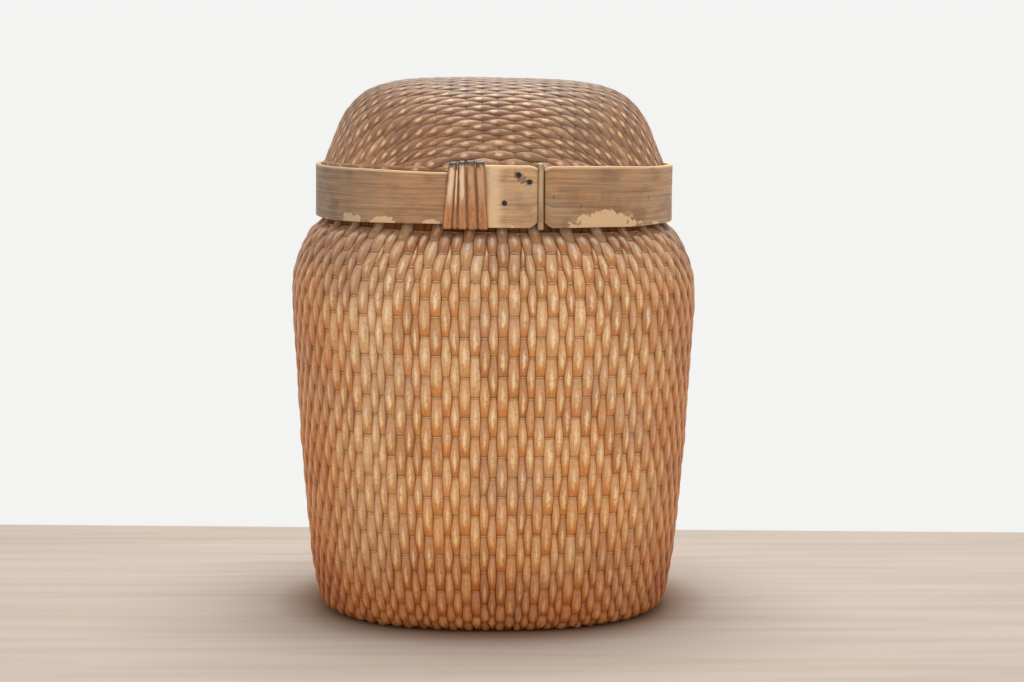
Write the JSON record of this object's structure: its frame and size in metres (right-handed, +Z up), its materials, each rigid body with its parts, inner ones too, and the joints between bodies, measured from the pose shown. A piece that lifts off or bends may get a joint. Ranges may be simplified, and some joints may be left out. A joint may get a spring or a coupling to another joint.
{
  "type": "lidded woven storage basket",
  "caption": "Lidded woven willow storage basket of rounded-square plan: barrel body, narrow hooped neck, and a domed lid with a bentwood band that lifts off.",
  "frame": {"origin": "on the floor, at the middle of the foot, which is the middle of the bounding box in plan", "axes": "+Z up through the lid, -Y towards the front with the lashing, +X to the right seen from the front"},
  "size_m": [0.357, 0.314, 0.4769],
  "materials": {
    "willow_body": "aged peeled willow rods, waxy low sheen, warm orange brown",
    "willow_lid": "aged peeled willow rods, drier and greyer than the body",
    "hemp_cord": "thin twisted hemp cord, dusty",
    "band_wood": "aged bentwood with dark patina, worn pale edges",
    "splice_wood": "smoother, paler bentwood with dark spots",
    "hoop_wood": "plain bent hoop, unfinished",
    "neck_cane": "flat split cane, matte",
    "lash_cane": "flat split cane, glossy orange brown, dark where it bends",
    "joint_cane": "flat split cane, dull greenish brown",
    "iron": "small dark oxidised tack heads"
  },
  "bodies": {
    "basket": {"woven_wall": "willow_body", "base_mat": "willow_body", "neck_outer_hoop": "hoop_wood", "neck_inner_hoop": "hoop_wood", "neck_rim_cane": "neck_cane", "neck_stitch_1": "neck_cane", "neck_stitch_2": "neck_cane", "neck_stitch_3": "neck_cane", "neck_stitch_4": "neck_cane", "neck_stitch_5": "neck_cane", "neck_stitch_6": "neck_cane", "neck_stitch_7": "neck_cane", "neck_stitch_8": "neck_cane"},
    "lid": {"lid_dome": "willow_lid", "lid_inner_hoop": "hoop_wood", "lid_band": "band_wood", "band_splice": "splice_wood", "joint_cane": "joint_cane", "front_lash_1": "lash_cane", "front_lash_2": "lash_cane", "front_lash_3": "lash_cane", "front_lash_4": "lash_cane", "front_lash_5": "lash_cane", "rear_lash_1": "lash_cane", "rear_lash_2": "lash_cane", "rear_lash_3": "lash_cane", "rear_lash_4": "lash_cane", "lid_tack_1": "iron", "lid_tack_2": "iron", "lid_tack_3": "iron"}
  },
  "joints": [
    {"name": "lid_lift", "type": "slide", "parent": "basket", "child": "lid", "axis": [0, 0, 1], "range_m": [0, 0.25]}
  ]
}
